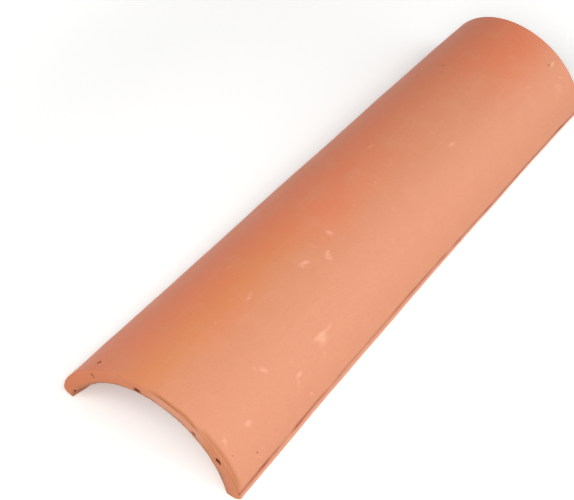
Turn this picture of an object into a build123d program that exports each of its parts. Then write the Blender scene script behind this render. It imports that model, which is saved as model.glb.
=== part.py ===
from build123d import *
import os

# Barrel roof tile of fired clay: a slab bent over a tapered former and fired as one piece.
# Millimetres. +Z is up, and the tile lies on z = 0 with its hollow side down.
# Its length runs along Y with the wide end at -Y, and the origin is on the floor under its middle.

# Whole tile
tile_length = 480.0
wide_end_width = 164.0  # over the outer corners of the feet, before they are rounded
wide_end_height = 61.0  # from the floor to the top of the crown
narrow_end_width = 125.5
narrow_end_height = 61.0

# Wall: the slab stretches over the former, so it is thinnest at the crown
crown_wall = 9.0
foot_wall = 13.0  # measured level, across a foot

# Feet: the outer corner is relieved, so the tile stands on a land along the inner side
foot_land = 6.5
foot_relief = 3.0  # how far the outer corner stays above the floor
foot_outer_round = 3.0
foot_inner_round = 2.5
foot_trim = 0.4  # clay rubbed off under both feet, which leaves the lands flat

# Wire-cut ends, with their edges wiped round
rim_round = 0.8


def round_pair(face, corner, radius):
    """Rounds one corner of a section and its mirror image on the other foot."""
    x, z = corner
    pair = [face.vertices().sort_by_distance((side * x, z))[0] for side in (-1, 1)]
    return fillet(pair, radius)


def tile_section(width, height):
    """Cross-section of the wall before the feet are trimmed: outer arc, two feet and inner arc."""
    outer_x = width / 2
    inner_x = outer_x - foot_wall
    land_x = inner_x + foot_land
    base_z = -foot_trim
    outer_arc = ThreePointArc((-outer_x, foot_relief), (0, height), (outer_x, foot_relief))
    right_foot = Polyline((outer_x, foot_relief), (land_x, base_z), (inner_x, base_z))
    inner_arc = ThreePointArc((inner_x, base_z), (0, height - crown_wall), (-inner_x, base_z))
    left_foot = Polyline((-inner_x, base_z), (-land_x, base_z), (-outer_x, foot_relief))
    face = make_face([outer_arc, right_foot, inner_arc, left_foot])
    face = round_pair(face, (outer_x, foot_relief), foot_outer_round)
    return round_pair(face, (inner_x, base_z), foot_inner_round)


def barrel_tile():
    """The tapered shell between two end sections, its rims rounded and its feet trimmed to the floor."""
    wide_end = Plane.XZ.offset(tile_length / 2) * tile_section(wide_end_width, wide_end_height)
    narrow_end = Plane.XZ.offset(-tile_length / 2) * tile_section(narrow_end_width, narrow_end_height)
    shell = loft([wide_end, narrow_end], ruled=True)
    end_faces = shell.faces().sort_by(Axis.Y)
    rims = end_faces[0].edges() + end_faces[-1].edges()
    return split(fillet(rims, rim_round), bisect_by=Plane.XY, keep=Keep.TOP)


os.makedirs("parts", exist_ok=True)
export_step(barrel_tile(), "parts/barrel_tile.step")
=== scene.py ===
import math

import bpy
import numpy as np
from mathutils import Matrix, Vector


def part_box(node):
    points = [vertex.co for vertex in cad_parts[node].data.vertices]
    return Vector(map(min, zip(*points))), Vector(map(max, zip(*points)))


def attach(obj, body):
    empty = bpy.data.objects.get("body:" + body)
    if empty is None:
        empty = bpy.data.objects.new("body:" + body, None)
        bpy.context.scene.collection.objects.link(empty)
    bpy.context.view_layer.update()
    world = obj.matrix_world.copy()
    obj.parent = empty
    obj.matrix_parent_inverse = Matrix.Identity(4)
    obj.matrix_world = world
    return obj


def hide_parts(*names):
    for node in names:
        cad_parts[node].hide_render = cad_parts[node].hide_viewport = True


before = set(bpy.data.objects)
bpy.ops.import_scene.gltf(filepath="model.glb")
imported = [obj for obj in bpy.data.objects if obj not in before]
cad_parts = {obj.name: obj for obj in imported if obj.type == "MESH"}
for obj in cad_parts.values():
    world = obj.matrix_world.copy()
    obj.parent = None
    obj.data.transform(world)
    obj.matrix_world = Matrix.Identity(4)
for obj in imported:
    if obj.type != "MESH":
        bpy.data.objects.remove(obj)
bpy.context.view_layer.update()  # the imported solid, which the dressed tile stands for
tileLow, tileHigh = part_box("barrel_tile")
mm = 0.001  # the dictionaries are in millimetres where they say nothing else, the scene is in metres
print("frame loaded:", sorted(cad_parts))


def linear(hexColour):
    # sRGB hex to linear light: the standard curve, one channel at a time
    parts = [int(hexColour[i:i + 2], 16) / 255 for i in (1, 3, 5)]
    curve = [c / 12.92 if c <= 0.04045 else ((c + 0.055) / 1.055) ** 2.4 for c in parts]
    return (*curve, 1.0)


def addNode(tree, kind, inputs, **settings):
    # one node: its settings, then each input is a link if it is given a socket and a value otherwise
    node = tree.nodes.new("ShaderNode" + kind)
    for name, value in settings.items():
        setattr(node, name, value)
    for name, value in inputs.items():
        if isinstance(value, bpy.types.NodeSocket):
            tree.links.new(value, node.inputs[name])
        else:
            node.inputs[name].default_value = value
    return node.outputs


def emptyTree(owner):
    # node tree of a material or a world, with nothing in it yet
    owner.use_nodes = True
    owner.node_tree.nodes.clear()
    return owner.node_tree


def addToScene(name, data):
    # a new object at the origin that shows this mesh, lamp or camera
    thing = bpy.data.objects.new(name, data)
    bpy.context.scene.collection.objects.link(thing)
    return thing


def aim(thing, right, up, back, place):
    # columns of the turn are the thing's own right, up and back
    turn = np.stack([right, up, back], axis=1)
    thing.matrix_world = Matrix([[*row, p] for row, p in zip(turn, place)] + [[0, 0, 0, 1]])


# camera, solved from the outline of the tile in the photo
photo = dict(
    width=574,           # pixels
    focal=2468,          # pixels
    yaw=-33.78,          # degrees, from the length of the tile
    pitch=47.9,          # degrees below the horizon
    roll=3.48,           # degrees
    originRight=57.7,    # pixels, where the tile's origin shows, right of the picture's middle
    distance=1897.5,     # to the tile's origin, along the view
    sensor=36.0,         # width of the camera's sensor
)


def setCamera():
    # the view turns by yaw, pitch and roll, then the camera steps back until the origin is at its pixel
    yaw, pitch, roll = (math.radians(photo[k]) for k in ("yaw", "pitch", "roll"))
    level = np.array([math.cos(yaw), -math.sin(yaw), 0])
    along = np.array([math.sin(yaw), math.cos(yaw), 0])
    ahead = along * math.cos(pitch) - np.array([0, 0, math.sin(pitch)])
    upright = np.cross(level, ahead)
    right = level * math.cos(roll) + upright * math.sin(roll)
    up = upright * math.cos(roll) - level * math.sin(roll)
    origin = right * photo["originRight"] * photo["distance"] / photo["focal"]
    data = bpy.data.cameras.new("photoCamera")
    data.sensor_width = photo["sensor"]
    data.lens = photo["focal"] / photo["width"] * photo["sensor"]
    camera = addToScene("photoCamera", data)
    aim(camera, right, up, -ahead, -(origin + ahead * photo["distance"]) * mm)
    bpy.context.scene.camera = camera


setCamera()
print("camera set")


# the tile: its form and grid, then what making, firing and handling did to it
# a share around is -1 at the left foot, 0 at the crown and 1 at the right foot
# a share through the wall is 0 on the outer side and 1 in the hollow
# of a pair, something is missing at the first and full at the second
tile = dict(
    length=(tileHigh.y - tileLow.y) / mm,
    wideWidth=(tileHigh.x - tileLow.x) / mm,
    cornerLoss=1.0,        # what rounding the foot corners has taken off it
    wideHeight=tileHigh.z / mm,
    narrowWidth=125.5,     # over the corners before they are rounded
    narrowHeight=61.4,     # the narrow end opened a little in the fire
    crownWall=9.0,
    footWall=13.0,
    footLand=6.5,
    footRelief=3.0,
    footTrim=0.4,
    edgeSoftness=1.3,      # spread of the blur that rounds the long edges
    rimRound=0.7,
    # grid
    outerColumns=169,
    footColumns=17,
    bodyRows=290,
    rimRows=5,
    columnPull=0.5,        # how much the columns crowd at the feet
    rowPull=0.45,          # how much the rows crowd at the ends
    edgeTurn=4.0,          # marks turn round an edge over this length to each side of it
    # warp
    sideBow=-2.4,          # the fired tile leans to the left at its middle
    flare=1.7,             # how far the left flank stands out at the wide end
    flareLean=34.0,        # degrees above level in which it stands out
    flareAcross=-66.5,     # where across the tile it is greatest
    flareWidth=21.0,
    flareStart=-60.0,      # where along the tile it begins
    flareLength=180.0,     # and over what length it grows
    flarePower=1.5,        # slowly at first
    # unevenness: height, size across, seed
    noises=dict(
        undulation=(0.3, 70, 1),    # dents and swells of the slab
        ripple=(0.1, 18, 2),        # smaller ones
        drag=(0.18, 5, 3),          # lengthwise lines that the former leaves in the hollow
        footWave=(0.25, 26, 4),     # how unevenly the long edges were trimmed
        wireLines=(0.12, 3, 5),     # lines that the cutting wire leaves on the ends
        lossSpots=(1, 7, 6),
        creaseWander=(0.5, 24, 7),
        creaseBreaks=(0.4, 11, 8),
        innerShadePatches=(0.5, 9, 9),
        burrWander=(1, 10, 10),
        endLightPatches=(0.5, 8, 11),
    ),
    dragDrawn=0.04,        # width of a drag line per length
    dragOutside=0.15,      # share of the drag that shows on the outer side
    wireDrawn=0.15,        # width of a wire line per height
    footReach=6.0,         # how far up the trimming of a long edge shows
    sandThrough=(0.55, 1),
    # small losses along the edges
    lossDepth=0.9,
    lossPeaks=(0.45, 0.95),
    lossFromEnd=2.2,       # how far in from an end they reach
    lossFromEdge=3.0,      # and from a long edge
    lossOutside=0.25,      # share of them on the outer side
    lossThrough=(0.3, 1),
    # groove where the trimming tool turned a long edge over, and the lip below it; the groove is
    # darkened with painted shade
    creaseDepth=0.5,
    creaseWidth=1.4,
    creaseLeft=1.2,        # distance from the left edge
    creaseRight=3.8,       # from the right edge at the narrow end
    creaseDrift=1.8,       # how much further that is at the wide end
    driftAlong=(120, -40),
    creaseMean=0.85,
    # how hard the tool was pressed, which also sets how dark the painted shade in the groove is: place
    # along the tile, strength
    creasePress=[(-240, 1.0), (-196, 1.0), (-188, 0.3), (-176, 0.3), (-168, 0.8), (-135, 0.8),
                 (-120, 0.45), (-60, 0.45), (-30, 0.6), (40, 0.6), (90, 0.9), (240, 1.0)],
    lipPress=0.3,          # how far the lip was pressed in, on the right
    lipBelow=(0.3, 2.0),   # distance below the groove
    lipThrough=(0.4, 0),
    # shallow grooves with painted shade in them at the wide end's rim: distance from the rim, wander,
    # width, shares around where it comes and where it goes, strength
    rimShades=[
        (0.9, 0.5, 1.3, (-0.06, 0.1), (0.48, 0.36), 1.0),  # thin line right of the crown
        (2.2, 1.0, 2.4, (0.34, 0.5), (1.0, 0.85), 0.75),   # spread towards the right foot
    ],
    burrDepth=0.25,
    # painted shade on the cut ends and round their rims, and a stretch of the wide end face painted
    # lighter
    cutRound=0.8,          # how far the painted shade shows round the rim
    endLightComes=(-0.08, 0.08),
    endLightGoes=(0.55, 0.42),
    endLightCut=0.8,          # share of the painted shade that the painted light takes away
    endLightMean=0.8,
    # ragged line of painted shade along the inner edge of the ends
    innerShadeLeft=1.5,          # its width
    innerShadeRight=3.2,
    innerShadeChange=(-0.15, 0.15),
    innerShadeRound=1.0,         # how far it shows in the hollow
    innerShadeMean=0.7,
    # yellower band along the crown, at the edge of what the flame reddened
    ochreAround=-0.1,
    ochreWidth=0.16,
    ochreAlong=(-10, -100),
    # marks are cones: how many half sizes they reach, and which part of the cone is a mark's wall
    markReach=1.5,
    endReach=1.4,
    endDepth=2.0,          # how far they reach along the tile from an end face
    pitDepth=1.2,
    pitWall=(0.1, 0.7),
    scuffDepth=0.1,
    scuffWall=(0.2, 0.6),
    # marks on the outer side: place along the tile, share around, half length, half width,
    # turn in degrees from the length, strength
    scuffs=[
        (-39, 0.12, 3.1, 2.1, 85, 0.7), (-55, 0.22, 3.3, 1.3, 150, 1),
        (-58, 0.24, 3.7, 2.3, 60, 0.6), (-74, 0.15, 4.1, 1.7, 25, 0.9),
        (-78, 0.15, 4.1, 2.5, 70, 0.5), (-58, 0.1, 4.3, 2.1, 75, 0.25),
        (-109, 0.59, 8.2, 1.7, 5, 1), (-109, 0.62, 5.6, 4.2, 0, 0.7),
        (-98, 0.59, 3.7, 2.1, 0, 0.4), (-105, 0.59, 1.9, 1, 5, 1.3),
        (-115, 0.71, 2.6, 0.9, 125, 0.6), (-144, 0.67, 3.6, 1.7, 0, 0.9),
        (-148, 0.71, 2.5, 1.2, 130, 0.7), (-142, 0.85, 1.8, 1.1, 55, 0.7),
        (-166, 0.46, 4.6, 2.1, 60, 0.6), (-171, 0.41, 2.4, 1.1, 100, 0.6),
        (-143, 0.56, 1.9, 1.2, 55, 0.3), (-129, 0.36, 1.8, 1.2, 70, 0.3),
        (-204, 0.63, 4.1, 2.3, 15, 0.7), (-229, 0.59, 3, 1.7, 125, 0.7),
        (-210, 0.87, 3.2, 1.1, 50, 0.4), (229, 0.43, 3.6, 1.1, 165, 1),
        (194, 0.42, 1.7, 0.9, 25, 0.7), (221, 0.51, 1.4, 1, 50, 0.4),
        (228, 0.56, 2, 1, 35, 0.5), (222, 0.62, 6.8, 5, 55, 0.3),
        (99, 0.31, 4.3, 1.4, 10, 0.8), (54, -0.16, 3.4, 1.4, 20, 0.6),
        (-110, -0.28, 2.3, 1.1, 15, 0.6), (-127, 0.03, 4.7, 1.4, -10, 0.6),
        (96, -0.72, 6, 1.6, 10, 0.8), (-60, -0.78, 4.2, 2.4, 70, 0.7),
        (12, -0.6, 3, 1.4, 140, 0.6),
    ],
    pits=[
        (-230, -0.54, 2.1, 1.2, 20, 0.95), (-235, -0.53, 3.3, 0.5, 140, 0.4),
        (-52, 0.2, 1.1, 0.7, 50, 0.4), (-210, 0.83, 2.1, 0.6, 40, 0.5),
        (-230, 0.7, 1.9, 0.8, 100, 0.5), (226, 0.41, 1.3, 0.7, 20, 0.6),
        (229, 0.42, 1.1, 0.7, 10, 0.5), (165, -0.27, 2.4, 0.7, 30, 0.5),
        (156, -0.2, 2.5, 0.7, 135, 0.5), (-21, 0.27, 1.2, 0.7, 45, 0.5),
        (140, -0.7, 2, 0.9, 75, 0.7),
    ],
    # marks on the end faces: end (-1 wide, 1 narrow), share around, depth into the wall from the outer
    # side, half length along the wall, half width, strength
    endPits=[
        (-1, -0.12, 6.8, 2.8, 1.7, 1.7), (-1, 0.67, 4.3, 2.9, 1.6, 1.35),
        (-1, 0.41, 7.2, 2.3, 1.1, 0.95), (-1, -0.55, 4, 1.4, 3.2, 0.6),
        (-1, -0.89, 12.3, 1.7, 1.5, 0.72), (1, 0.3, 8.8, 2.6, 1.4, 0.9),
        (1, -0.45, 3, 2, 0.9, 0.6),
    ],
    # corners of the feet that were pushed while soft: end, share around, depth into the wall, reach,
    # move in x and z
    pushes=[
        (-1, -1, 1, 9, 2.4, 0.8), (-1, -0.95, 12.5, 9, -3, 0), (-1, -0.86, 12, 9, -0.9, 0.5),
    ],
)


def arcOver(halfWidth, footZ, topZ, count):
    # circle through both feet (+-halfWidth, footZ) and the crown (0, topZ), walked from left to right
    rise = topZ - footZ
    radius = (halfWidth ** 2 + rise ** 2) / (2 * rise)
    reach = np.arccos(1 - rise / radius)
    angle = np.linspace(-reach, reach, count)
    return np.stack([radius * np.sin(angle), topZ - radius * (1 - np.cos(angle))], axis=1)


def crowded(count, pull):
    # shares from 0 to 1, closer together at both ends: u - pull * sin(2 pi u) / (2 pi)
    u = np.linspace(0, 1, count)
    return u - pull * np.sin(2 * np.pi * u) / (2 * np.pi)


def ramp(value, low, high):
    # 0 at low, 1 at high, 3t^2 - 2t^3 between them; low may be the larger one
    t = np.clip((value - low) / (high - low), 0, 1)
    return t * t * (3 - 2 * t)


def bell(value, middle, spread):
    # e to the minus square of the distance from the middle, in spreads
    return np.exp(-((value - middle) / spread) ** 2)


def unit(vectors):
    # each row over its own length
    return vectors / np.linalg.norm(vectors, axis=1, keepdims=True)


def uneven(name, points):
    # random values on a lattice of the noise's size, blended between its corners by 3t^2 - 2t^3
    # a corner's value is what stands behind the point in a large multiple of a sine of its place
    height, size, seed = tile["noises"][name]
    perCorner, perSeed, multiple = [12.9898, 78.233, 37.719], 5.171, 43758.5453
    place = points / size
    corner = np.floor(place)
    t = place - corner
    t = t * t * (3 - 2 * t)
    total = np.zeros(len(points))
    for step in np.ndindex(2, 2, 2):
        share = np.prod(np.where(step, t, 1 - t), axis=1)
        value = np.sin((corner + step) @ perCorner + seed * perSeed) * multiple
        total += share * (value - np.floor(value))
    return height * (2 * total - 1)


# columns around the wall: outer side from left to right, right foot, hollow from right to left,
# left foot
outerCount, footCount = tile["outerColumns"], tile["footColumns"] - 2
innerCount = (outerCount + 1) // 2  # every second column of the outer side
columnEnds = np.cumsum([0, outerCount, footCount, innerCount, footCount])
columnParts = [slice(start, end) for start, end in zip(columnEnds[:-1], columnEnds[1:])]
outerPart, rightFoot, innerPart, leftFoot = columnParts
outerShare = crowded(outerCount, tile["columnPull"]) * 2 - 1  # share around
throughWall = np.linspace(0, 1, tile["footColumns"])  # share through the wall


def wallLoop(width, height):
    # closed outline of the wall from the left foot's outer corner: outer arc, foot, inner arc, foot
    # a gaussian blur along the outline rounds its corners, and the lands are cut flat at the floor
    # outwards is square to a chord of twice edgeTurn, which turns gently at the corners
    fine, steps = 400, 4096  # points on each arc, and around the outline for the blur
    outerX = width / 2
    innerX = outerX - tile["footWall"]
    landX = innerX + tile["footLand"]
    base = -tile["footTrim"]
    outerArc = arcOver(outerX, tile["footRelief"], height, fine)
    innerArc = arcOver(innerX, base, height - tile["crownWall"], fine)[::-1]
    raw = np.vstack([outerArc, [[landX, base]], innerArc, [[-landX, base]], outerArc[:1]])
    walked = np.concatenate([[0], np.cumsum(np.linalg.norm(np.diff(raw, axis=0), axis=1))])
    total = walked[-1]
    even = np.arange(steps) * total / steps
    blur = np.exp(-2 * (np.pi * np.fft.fftfreq(steps, total / steps) * tile["edgeSoftness"]) ** 2)
    x, z = (np.fft.ifft(np.fft.fft(np.interp(even, walked, raw[:, k])) * blur).real for k in (0, 1))
    z = np.maximum(z, 0)
    reach = round(tile["edgeTurn"] * steps / total)
    turnX, turnZ = (np.roll(v, -reach) - np.roll(v, reach) for v in (x, z))
    rightOuter, rightInner, leftInner = walked[fine - 1], walked[fine + 1], walked[2 * fine]
    at = np.concatenate([
        rightOuter * (outerShare + 1) / 2,
        rightOuter + (rightInner - rightOuter) * throughWall[1:-1],
        rightInner + (leftInner - rightInner) * (outerShare[::2] + 1) / 2,
        leftInner + (total - leftInner) * throughWall[1:-1],
    ])
    points = np.stack([np.interp(at, even, v, period=total) for v in (x, z)], axis=1)
    normals = np.stack([np.interp(at, even, v, period=total) for v in (-turnZ, turnX)], axis=1)
    return points, unit(normals), rightOuter / 2  # the last is the way from crown to foot


def lengthRows():
    # rows from the wide end to the narrow end: y, and how far the loop is drawn in
    # each rim is a quarter circle of rimRound
    half, rim = tile["length"] / 2, tile["rimRound"]
    turn = np.linspace(np.pi / 2, 0, tile["rimRows"], endpoint=False)
    body = (crowded(tile["bodyRows"], tile["rowPull"]) * 2 - 1) * (half - rim)
    rimY, rimIn = half - rim * (1 - np.sin(turn)), rim * (1 - np.cos(turn))
    return np.concatenate([-rimY, body, rimY[::-1]]), np.concatenate([rimIn, 0 * body, rimIn[::-1]])


def fillEnd(ring):
    # spreads what a rim has over its end face: across the wall plus along it, less the patch between
    # the corners
    outer, inner = ring[outerPart], ring[innerPart][::-1]
    column = np.arange(outerCount) / 2
    inner = np.stack([np.interp(column, np.arange(innerCount), inner[:, k]) for k in range(3)], axis=1)
    right = np.vstack([outer[-1:], ring[rightFoot], inner[-1:]])
    left = np.vstack([outer[:1], ring[leftFoot][::-1], inner[:1]])
    u, v = np.linspace(0, 1, outerCount)[None, :, None], throughWall[:, None, None]
    across = outer[None] * (1 - v) + inner[None] * v
    along = left[:, None] * (1 - u) + right[:, None] * u
    outerSide = outer[0] * (1 - u) + outer[-1] * u
    innerSide = inner[0] * (1 - u) + inner[-1] * u
    return (across + along - outerSide * (1 - v) - innerSide * v)[1:-1, 1:-1].reshape(-1, 3)


def quadsOf(first, second, third, fourth):
    # four-sided faces from four grids of point numbers, one grid for each corner
    return np.stack([first, second, third, fourth], axis=-1).reshape(-1, 4)


def endFaces(rim, start):
    # faces between a rim and the points that fill it, numbered from start
    # the inner row meets the hollow, which has half as many columns, in five-sided faces
    grid = np.empty((footCount + 1, outerCount), int)
    grid[0] = rim[outerPart]
    grid[1:, 0] = rim[leftFoot][::-1]
    grid[1:, -1] = rim[rightFoot]
    grid[1:, 1:-1] = start + np.arange(footCount * (outerCount - 2)).reshape(footCount, -1)
    quads = quadsOf(grid[:-1, :-1], grid[1:, :-1], grid[1:, 1:], grid[:-1, 1:])
    last, inner = grid[-1], rim[innerPart][::-1]
    fives = np.stack([last[:-2:2], inner[:-1], inner[1:], last[2::2], last[1:-1:2]], axis=-1)
    return quads, fives


def whereabouts(points, rows, wideHalf, narrowHalf):
    # where each point is: share around, share through the wall, on an end face, on the wall or on its
    # outer side, and how far from the nearer end and from the nearer long edge
    foot, through = np.ones(footCount), throughWall[1:-1]
    wallShare = np.concatenate([outerShare, foot, outerShare[::-2], -foot])
    wallDepth = np.concatenate([0 * outerShare, through, np.ones(innerCount), through[::-1]])
    capShare = np.tile(outerShare[1:-1], footCount)
    capDepth = np.repeat(through, outerCount - 2)
    share = np.concatenate([np.tile(wallShare, rows), capShare, capShare])
    depth = np.concatenate([np.tile(wallDepth, rows), capDepth, capDepth])
    onWall = np.concatenate([np.ones(rows * len(wallShare)), np.zeros(2 * len(capShare))])
    span = points[:, 1] / tile["length"] + 0.5
    half = wideHalf * (1 - span) + narrowHalf * span  # from crown to foot along the outer side
    return dict(
        share=share,
        depth=depth,
        half=half,
        onCap=1 - onWall,
        onWall=onWall,
        onOuter=(depth == 0) * onWall,
        hollow=ramp(depth, *tile["sandThrough"]) * onWall,
        endGap=tile["length"] / 2 - np.abs(points[:, 1]),
        edgeGap=(1 - np.abs(share)) * half,
    )


def tileShell():
    # a point of the wall is the two end loops blended along the length and drawn in at the rims
    sharpWidth = tile["wideWidth"] + tile["cornerLoss"]
    wide, wideOut, wideHalf = wallLoop(sharpWidth, tile["wideHeight"])
    narrow, narrowOut, narrowHalf = wallLoop(tile["narrowWidth"], tile["narrowHeight"])
    rowY, drawnIn = (v[:, None] for v in lengthRows())
    blend = (rowY / tile["length"] + 0.5)[..., None]
    out = wideOut * (1 - blend) + narrowOut * blend
    loop = wide * (1 - blend) + narrow * blend - out * drawnIn[..., None]
    rows, columns = loop.shape[:2]
    across = np.ones(columns)
    wall = np.stack([loop[..., 0], rowY * across, loop[..., 1]], axis=-1)
    end = tile["length"] / 2
    endY = np.sign(rowY) * ramp(np.abs(rowY), end - tile["edgeTurn"], end)
    wallOut = np.stack([out[..., 0], endY * across, out[..., 1]], axis=-1)
    points = np.vstack([wall.reshape(-1, 3), fillEnd(wall[0]), fillEnd(wall[-1])])
    normals = np.vstack([wallOut.reshape(-1, 3), fillEnd(wallOut[0]), fillEnd(wallOut[-1])])
    number = np.arange(rows * columns).reshape(rows, columns)
    nextColumn = np.roll(number, -1, axis=1)
    sides = quadsOf(number[:-1], nextColumn[:-1], nextColumn[1:], number[1:])
    nearQuads, nearFives = endFaces(number[0], number.size)
    farQuads, farFives = endFaces(number[-1], (number.size + len(points)) // 2)
    faces = [sides, nearQuads, nearFives, farQuads[:, ::-1], farFives[:, ::-1]]
    return dict(
        points=points,
        normals=unit(normals),
        faces=[face for part in faces for face in part.tolist()],
        ends={-1: (wide, wideOut), 1: (narrow, narrowOut)},
        **whereabouts(points, rows, wideHalf, narrowHalf),
    )


def endSpot(shell, end, around, inset):
    # a spot on an end face: the outer edge at that share, then into the wall, and the wall's normal
    edge, out = (
        np.array([np.interp(around, outerShare, v[outerPart, k]) for k in (0, 1)])
        for v in shell["ends"][end]
    )
    x, z = edge - out * inset
    return np.array([x, end * tile["length"] / 2, z]), out


def surfaceMarks(shell, marks):
    # each mark is a cone over an ellipse: strength * (1 - distance in half sizes / reach), and the
    # highest one counts
    field = np.zeros(len(shell["points"]))
    for along, around, long, wide, turn, strength in marks:
        across, down = (shell["share"] - around) * shell["half"], shell["points"][:, 1] - along
        c, s = math.cos(math.radians(turn)), math.sin(math.radians(turn))
        lengthwise, sideways = (down * c + across * s) / long, (across * c - down * s) / wide
        away = np.hypot(lengthwise, sideways) / tile["markReach"]
        field = np.maximum(field, strength * (1 - away))
    return field * shell["onOuter"]


def endMarks(shell):
    # the same cone in space, flattened to half sizes along the wall and into it and to endDepth
    # along the tile
    field = np.zeros(len(shell["points"]))
    for end, around, inset, long, wide, strength in tile["endPits"]:
        spot, (outX, outZ) = endSpot(shell, end, around, inset)
        awayX, awayY, awayZ = (shell["points"] - spot).T
        inward = (awayX * outX + awayZ * outZ) / (tile["endReach"] * wide)
        sideways = (awayX * outZ - awayZ * outX) / (tile["endReach"] * long)
        away = np.sqrt(inward ** 2 + sideways ** 2 + (awayY / tile["endDepth"]) ** 2)
        field = np.maximum(field, strength * (1 - away))
    return field


def slabLift(shell):
    # noises along the normal: dents and ripple all over, lines drawn out along the hollow, uneven long
    # edges, and wire lines drawn out upwards on the ends
    points, onWall = shell["points"], shell["onWall"]
    lift = uneven("undulation", points) + uneven("ripple", points)
    dragged = tile["dragOutside"] + (1 - tile["dragOutside"]) * shell["hollow"]
    lift += uneven("drag", points * [1, tile["dragDrawn"], 1]) * dragged * onWall
    lift += uneven("footWave", points) * bell(shell["edgeGap"], 0, tile["footReach"]) * onWall
    lift += uneven("wireLines", points * [1, 1, tile["wireDrawn"]]) * shell["onCap"]
    return lift


def edgeLosses(shell):
    # where an edge met something: the peaks of a noise, in bells along the ends and the long edges
    peaks = ramp(uneven("lossSpots", shell["points"]), *tile["lossPeaks"])
    atEnd = bell(shell["endGap"], 0, tile["lossFromEnd"])
    atEdge = bell(shell["edgeGap"], 0, tile["lossFromEdge"])
    inner = ramp(shell["depth"], *tile["lossThrough"])
    shown = tile["lossOutside"] + (1 - tile["lossOutside"]) * inner
    return peaks * np.maximum(atEnd, atEdge) * shown * shell["onWall"]


def edgeCrease(shell):
    # a bell across a line that wanders along the tile and breaks off here and there, which is the groove
    # and its painted shade, and below it the lip, a ramp of the distance from that line
    y, share, edgeGap = shell["points"][:, 1], shell["share"], shell["edgeGap"]
    rightAt = tile["creaseRight"] + tile["creaseDrift"] * ramp(y, *tile["driftAlong"])
    creaseAt = np.where(share > 0, rightAt, tile["creaseLeft"])
    creaseAt += uneven("creaseWander", shell["points"] * [0, 1, 0])
    strength = np.interp(y, *zip(*tile["creasePress"]))
    strength *= tile["creaseMean"] + uneven("creaseBreaks", np.stack([0 * y, y, share], axis=1))
    creaseShade = np.clip(bell(edgeGap, creaseAt, tile["creaseWidth"]) * strength, 0, 1) * shell["onOuter"]
    lip = ramp(creaseAt - edgeGap, *tile["lipBelow"]) * ramp(shell["depth"], *tile["lipThrough"])
    return creaseShade, lip * shell["onWall"]


def rimShading(shell):
    # each rim shade is a shallow groove with painted shade in it: a bell across a line that wanders
    # along the wide end's rim, between two shares around
    wander = uneven("burrWander", shell["points"] * [1, 0, 1])
    rimShade = np.zeros(len(wander))
    for gap, sway, width, comes, goes, strength in tile["rimShades"]:
        line = bell(shell["endGap"], gap + sway * wander, width)
        line *= ramp(shell["share"], *comes) * ramp(shell["share"], *goes)
        rimShade = np.maximum(rimShade, strength * line)
    return rimShade * shell["onOuter"] * (shell["points"][:, 1] < 0)


def shadedEnds(shell):
    # painted shade over the cut ends and round their rims, a stretch of the wide end painted lighter
    # between two shares around, and the ragged line of painted shade at the inner edge, a bell through
    # the wall that is wider on the right
    points, share, onCap, endGap = (shell[k] for k in ("points", "share", "onCap", "endGap"))
    paintedEndLight = ramp(share, *tile["endLightComes"]) * ramp(share, *tile["endLightGoes"]) * (points[:, 1] < 0)
    cutShade = np.maximum(onCap, bell(endGap, 0, tile["cutRound"]) * shell["onOuter"])
    cutShade *= 1 - tile["endLightCut"] * paintedEndLight
    paintedEndLight *= onCap * (tile["endLightMean"] + uneven("endLightPatches", points))
    width = tile["innerShadeLeft"] + (tile["innerShadeRight"] - tile["innerShadeLeft"]) * ramp(share, *tile["innerShadeChange"])
    innerEdgeShade = bell((1 - shell["depth"]) * tile["crownWall"], 0, width)
    innerEdgeShade *= np.maximum(onCap, bell(endGap, 0, tile["innerShadeRound"]))
    innerEdgeShade *= tile["innerShadeMean"] + uneven("innerShadePatches", points)
    return cutShade, paintedEndLight, innerEdgeShade


def workedTile(shell):
    # what each making step did, as a lift along the normal and as fields from 0 to 1 for the material;
    # several fields also carry painted shade and painted light
    creaseShade, lip = edgeCrease(shell)
    cutShade, paintedEndLight, innerEdgeShade = shadedEnds(shell)
    crown = bell(shell["share"], tile["ochreAround"], tile["ochreWidth"])
    fields = dict(
        scuff=surfaceMarks(shell, tile["scuffs"]),
        pitShade=np.maximum(surfaceMarks(shell, tile["pits"]), endMarks(shell)),
        creaseShade=creaseShade,
        # the lip field also carries the painted light on the wide end face
        lip=np.maximum(lip, paintedEndLight),
        rimShade=rimShading(shell),
        cutShade=cutShade,
        innerEdgeShade=innerEdgeShade,
        lossShade=edgeLosses(shell),
        hollow=shell["hollow"],
        ochre=crown * ramp(shell["points"][:, 1], *tile["ochreAlong"]) * shell["onOuter"],
    )
    lift = slabLift(shell)
    lift -= tile["creaseDepth"] * fields["creaseShade"]
    lift -= tile["lipPress"] * fields["lip"] * (shell["share"] > 0)
    lift -= tile["lossDepth"] * fields["lossShade"]
    lift -= tile["burrDepth"] * fields["rimShade"]
    lift -= tile["pitDepth"] * ramp(fields["pitShade"], *tile["pitWall"])
    lift -= tile["scuffDepth"] * ramp(fields["scuff"], *tile["scuffWall"])
    return lift, fields


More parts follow.
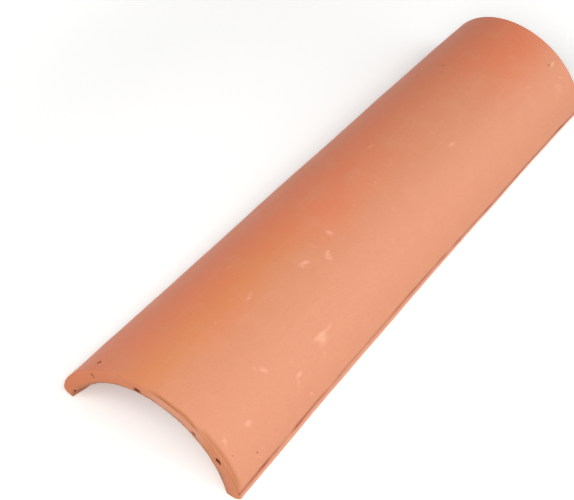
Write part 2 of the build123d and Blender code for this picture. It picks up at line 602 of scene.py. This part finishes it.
def warpTile(shell, points):
    # the left flank stands out: a bell across the tile times a power of the length from its start
    x, y = shell["points"][:, 0], shell["points"][:, 1]
    flank = bell(x, tile["flareAcross"], tile["flareWidth"]) * (1 - shell["depth"])
    flank *= np.clip((tile["flareStart"] - y) / tile["flareLength"], 0, 1) ** tile["flarePower"]
    lean = math.radians(tile["flareLean"])
    points += tile["flare"] * flank[:, None] * [-math.cos(lean), 0, math.sin(lean)]
    # a pushed corner moves by a bell of the distance from its spot
    for end, around, inset, reach, moveX, moveZ in tile["pushes"]:
        spot, _ = endSpot(shell, end, around, inset)
        weight = bell(np.linalg.norm(shell["points"] - spot, axis=1), 0, reach)
        points += weight[:, None] * [moveX, 0, moveZ]
    # the whole tile bows to one side by a parabola along its length, and nothing goes below the floor
    points[:, 0] += tile["sideBow"] * (1 - (2 * y / tile["length"]) ** 2)
    points[:, 2] = np.maximum(points[:, 2], 0)


def buildTile():
    # each point of the shell goes along its normal by the lift, then the whole is warped
    shell = tileShell()
    lift, fields = workedTile(shell)
    points = shell["points"] + shell["normals"] * lift[:, None]
    warpTile(shell, points)
    mesh = bpy.data.meshes.new("barrelTile")
    mesh.from_pydata((points * mm).tolist(), [], shell["faces"])
    mesh.shade_smooth()
    for name, field in fields.items():
        attribute = mesh.attributes.new(name, "FLOAT", "POINT")
        attribute.data.foreach_set("value", field.astype(np.float32))
    return addToScene("barrelTile", mesh), list(fields)


tilePiece, tileFields = buildTile()
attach(tilePiece, "root")
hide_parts("barrel_tile")
print("tile built:", len(tilePiece.data.vertices), "points", len(tilePiece.data.polygons), "faces")


# terracotta: iron-red clay, pressed, fired once and left bare
# to the eye it is matt with a faint sheen on the smoothed side, and it powders pale where it is rubbed
clay = dict(
    red="#E4835E",       # redder on the left; with the paler body it is partly fired tone and partly painted sheen on the right flank
    body="#D9906D",
    toneSheenFrom=-40.0,     # across the tile, where the red starts to give way to the body
    toneSheenTo=35.0,        # and where it is gone
    toneSheenLean=0.08,      # how far the red reaches over to the right, per length along the tile
    # layers over these two, from the bottom up
    layers=dict(
        pale="#DE9775",    # patches that fired paler
        streak="#DE9775",  # streaks of the same
        ochre="#DC8A48",
        grain="#8E3F26",   # dark grains in the clay
        cutShade="#D07E55",     # painted shade on the wire-cut ends and round their rims
        hollow="#C98059",  # sanded by the former
        lime="#F0CDB4",
        # lip below the groove, and painted light on a stretch of the wide end face
        lip="#DE9A7C",
        scuff="#F0AF92",   # powdered clay where the skin was rubbed off
        # painted shade in the groove along the long edges
        creaseShade="#8C300F",
        # painted shade along the wide end's rim
        rimShade="#A9602A",
        # painted shade along the inner edge of the ends
        innerEdgeShade="#9C7256",
        # painted shade inside the chips along the edges
        lossShade="#A85434",
        pitShade="#5A1A0A",     # painted shade inside a pit
    ),
    # patterns: size across, levels of detail
    patterns=dict(
        patch=(85.0, 2),
        mottle=(15.0, 3),
        streak=(4.0, 2),
        grain=(1.4, 2),    # real grain is about 0.3, drawn coarser so that it shows
        sand=(3.0, 3),     # real sand is about 0.5, drawn coarser so that it shows
        tear=(2.2, 3),     # ragged edges of the marks
    ),
    limeSize=15.0,       # distance between lime specks
    streakDrawn=0.05,    # width of a streak per length
    # smooth steps: pattern, where it starts and ends, what it starts and ends at
    steps=dict(
        toneSheen=("patch", 0.3, 0.7, -0.02, 0.02),  # metres to and fro
        pale=("mottle", 0.45, 0.75, 0, 0.4),
        streak=("streak", 0.5, 0.8, 0, 0.25),
        grain=("grain", 0.5, 0.75, 0, 0.09),
        sand=("sand", 0.3, 0.7, 0.55, 1),
        lime=("lime", 0.02, 0.05, 0.25, 0),
        tear=("tear", 0.2, 0.8, -0.15, 0.15),
        ragged=("tear", 0.3, 0.65, 0.8, 1),
        gloss=("mottle", 0.3, 0.7, 0.45, 0.55),  # roughness of the smoothed side
    ),
    # marks with a torn outline: where the step starts and ends, what it ends at
    tornMarks=dict(scuff=(0, 0.9, 0.9), lossShade=(0.3, 0.7, 0.5), pitShade=(0.15, 0.55, 1)),
    tearFrom=0.12,       # height on a mark's cone from which it shows in full
    # how much of the other fields shows
    shown=dict(lip=0.6, rimShade=0.8, cutShade=0.6, innerEdgeShade=0.8, ochre=0.35),
    roughnessRubbed=0.8,
    sheen=0.3,           # porous clay mirrors less than glass, which is 0.5
    grainHeight=0.03,
    streakHeight=0.05,
    tearHeight=0.08,
)


def clayPatterns(tree, place):
    # noises of their real sizes, the streaks drawn out along the tile, and cells for the lime specks
    stretch = {"Vector": place, "Scale": (1, clay["streakDrawn"], 1)}
    drawnOut = addNode(tree, "Mapping", stretch)[0]
    pattern = {}
    for name, (size, detail) in clay["patterns"].items():
        vector = drawnOut if name == "streak" else place
        noise = {"Vector": vector, "Scale": 1 / (size * mm), "Detail": detail}
        pattern[name] = addNode(tree, "TexNoise", noise)[0]
    specks = {"Vector": place, "Scale": 1 / (clay["limeSize"] * mm)}
    pattern["lime"] = addNode(tree, "TexVoronoi", specks)[0]
    return pattern


def clayAmounts(tree, pattern):
    # how much of each layer there is: smooth steps of the patterns, and the fields that the tile carries
    amount = {}
    for name, (source, low, high, bottom, top) in clay["steps"].items():
        step = {"Value": pattern[source], "From Min": low, "From Max": high,
                "To Min": bottom, "To Max": top}
        amount[name] = addNode(tree, "MapRange", step, interpolation_type="SMOOTHSTEP")[0]
    field = {}
    for name in tileFields:
        field[name] = addNode(tree, "Attribute", {}, attribute_name=name)["Fac"]
    # a mark is its cone plus noise, cut by a smooth step, which gives a torn outline
    for name, (low, high, top) in clay["tornMarks"].items():
        cone = addNode(tree, "Math", {0: field[name], 1: amount["tear"]}, operation="ADD")[0]
        step = {"Value": cone, "From Min": low, "From Max": high, "To Max": top}
        edge = addNode(tree, "MapRange", step, interpolation_type="SMOOTHSTEP")[0]
        near = addNode(tree, "MapRange", {"Value": field[name], "From Max": clay["tearFrom"]})[0]
        amount[name] = addNode(tree, "Math", {0: edge, 1: near}, operation="MULTIPLY")[0]
    # the other fields are thinned out by a share or by a noise
    thinned = {**clay["shown"], "hollow": amount["sand"], "creaseShade": amount["ragged"]}
    for name, share in thinned.items():
        amount[name] = addNode(tree, "Math", {0: field[name], 1: share}, operation="MULTIPLY")[0]
    return amount


def clayColour(tree, place, amount):
    # red on the left gives way to the paler body on the right, partly fired tone and partly painted
    # sheen on the right
    # flank, with more red at the narrow end: across the tile, less a share of the length, moved to and
    # fro by the patches
    axes = addNode(tree, "SeparateXYZ", {"Vector": place})
    leaning = {0: axes["Y"], 1: -clay["toneSheenLean"], 2: axes["X"]}
    across = addNode(tree, "Math", leaning, operation="MULTIPLY_ADD")[0]
    toneShifted = addNode(tree, "Math", {0: across, 1: amount["toneSheen"]}, operation="ADD")[0]
    step = {"Value": toneShifted, "From Min": clay["toneSheenFrom"] * mm, "From Max": clay["toneSheenTo"] * mm}
    side = addNode(tree, "MapRange", step, interpolation_type="SMOOTHSTEP")[0]
    sides = {0: side, 6: linear(clay["red"]), 7: linear(clay["body"])}
    colour = addNode(tree, "Mix", sides, data_type="RGBA")[2]
    for name, hexColour in clay["layers"].items():
        layer = {0: amount[name], 6: colour, 7: linear(hexColour)}
        colour = addNode(tree, "Mix", layer, data_type="RGBA")[2]
    return colour


def firedClay():
    material = bpy.data.materials.new("firedClay")
    tree = emptyTree(material)
    place = addNode(tree, "TexCoord", {})["Object"]
    pattern = clayPatterns(tree, place)
    amount = clayAmounts(tree, pattern)
    # rubbed and sanded places are rougher, and the relief there is torn besides grain and streaks
    rubbed = amount["scuff"]
    for name in ("hollow", "cutShade", "lossShade", "pitShade"):
        rubbed = addNode(tree, "Math", {0: rubbed, 1: amount[name]}, operation="MAXIMUM")[0]
    rough = addNode(tree, "Mix", {0: rubbed, 2: amount["gloss"], 3: clay["roughnessRubbed"]})[0]
    tearing = addNode(tree, "Math", {0: rubbed, 1: clay["tearHeight"]}, operation="MULTIPLY")[0]
    height = 0
    reliefs = dict(grain=clay["grainHeight"], streak=clay["streakHeight"], tear=tearing)
    for name, relief in reliefs.items():
        added = {0: pattern[name], 1: relief, 2: height}
        height = addNode(tree, "Math", added, operation="MULTIPLY_ADD")[0]
    surface = {
        "Base Color": clayColour(tree, place, amount),
        "Roughness": rough,
        "Specular IOR Level": clay["sheen"],
        "Normal": addNode(tree, "Bump", {"Height": height, "Distance": mm, "Strength": 1.0})[0],
    }
    addNode(tree, "OutputMaterial", {"Surface": addNode(tree, "BsdfPrincipled", surface)[0]})
    return material


tilePiece.data.materials.append(firedClay())
print("clay mixed")


# studio, in metres
studio = dict(
    floorSize=8.0,
    floorColour="#F4F4F2",
    liftNear=0.3,        # white added to the floor as the camera sees it, under the tile
    liftFar=1.0,         # and away from it, where the floor meets the white backdrop
    liftFrom=0.25,       # distances from the tile's middle
    liftTo=0.7,
    roomLight=0.05,
)


def whiteSeen(tree):
    # 1 where the camera, a reflection or a clear thing looks, 0 where light is gathered
    path = addNode(tree, "LightPath", {})
    seen = path["Is Camera Ray"]
    for ray in ("Is Glossy Ray", "Is Transmission Ray"):
        seen = addNode(tree, "Math", {0: seen, 1: path[ray]}, operation="MAXIMUM")[0]
    return seen


def mattCard():
    # matt white card: to the eye it is even and has no gloss
    # it has a lift towards white that grows away from the tile, so that the tile's shadow stays
    material = bpy.data.materials.new("mattCard")
    tree = emptyTree(material)
    place = addNode(tree, "TexCoord", {})["Object"]
    away = addNode(tree, "VectorMath", {0: place}, operation="LENGTH")["Value"]
    step = {"Value": away, "From Min": studio["liftFrom"], "From Max": studio["liftTo"],
            "To Min": studio["liftNear"], "To Max": studio["liftFar"]}
    lift = addNode(tree, "MapRange", step, interpolation_type="SMOOTHSTEP")[0]
    level = addNode(tree, "Math", {0: whiteSeen(tree), 1: lift}, operation="MULTIPLY")[0]
    diffuse = addNode(tree, "BsdfDiffuse", {"Color": linear(studio["floorColour"])})[0]
    glow = addNode(tree, "Emission", {"Strength": level})[0]
    both = addNode(tree, "AddShader", {0: diffuse, 1: glow})[0]
    addNode(tree, "OutputMaterial", {"Surface": both})
    return material


def buildStudio():
    # a square floor, and a world that looks white but gives only the room's light
    half = studio["floorSize"] / 2
    corners = [(-half, -half, 0), (half, -half, 0), (half, half, 0), (-half, half, 0)]
    mesh = bpy.data.meshes.new("floor")
    mesh.from_pydata(corners, [], [(0, 1, 2, 3)])
    mesh.materials.append(mattCard())
    addToScene("floor", mesh)
    world = bpy.data.worlds.new("studio")
    bpy.context.scene.world = world
    tree = emptyTree(world)
    brighter = {0: whiteSeen(tree), 1: studio["roomLight"]}
    level = addNode(tree, "Math", brighter, operation="MAXIMUM")[0]
    sky = addNode(tree, "Background", {"Color": (1, 1, 1, 1), "Strength": level})[0]
    addNode(tree, "OutputWorld", {"Surface": sky})


# softboxes, each aimed at the tile: azimuth from the wide end towards the right, elevation, distance and
# size in metres, and the light it gives at the tile, where pi would light a white card to white
lamps = dict(
    side=dict(azimuth=125, elevation=27, distance=1.4, size=1.4, level=1.7),
    key=dict(azimuth=62, elevation=62, distance=0.9, size=0.7, level=1.15),
    front=dict(azimuth=20, elevation=45, distance=1.4, size=0.9, level=1.4),
    fill=dict(azimuth=-50, elevation=25, distance=2.0, size=1.2, level=0.9),
)


def hangLamps():
    # a lamp hangs at its azimuth and elevation and looks back at the origin
    for name, lamp in lamps.items():
        azimuth, elevation = math.radians(lamp["azimuth"]), math.radians(lamp["elevation"])
        flat = math.cos(elevation)
        back = np.array([flat * math.sin(azimuth), -flat * math.cos(azimuth), math.sin(elevation)])
        right = np.cross([0, 0, 1], back) / flat
        data = bpy.data.lights.new(name, "AREA")
        data.shape = "DISK"
        data.size = lamp["size"]
        data.energy = lamp["level"] * math.pi * lamp["distance"] ** 2
        aim(addToScene(name, data), right, np.cross(back, right), back, back * lamp["distance"])


buildStudio()
hangLamps()
bpy.context.scene.view_settings.view_transform = "Standard"
print("studio lit:", sorted(lamps))
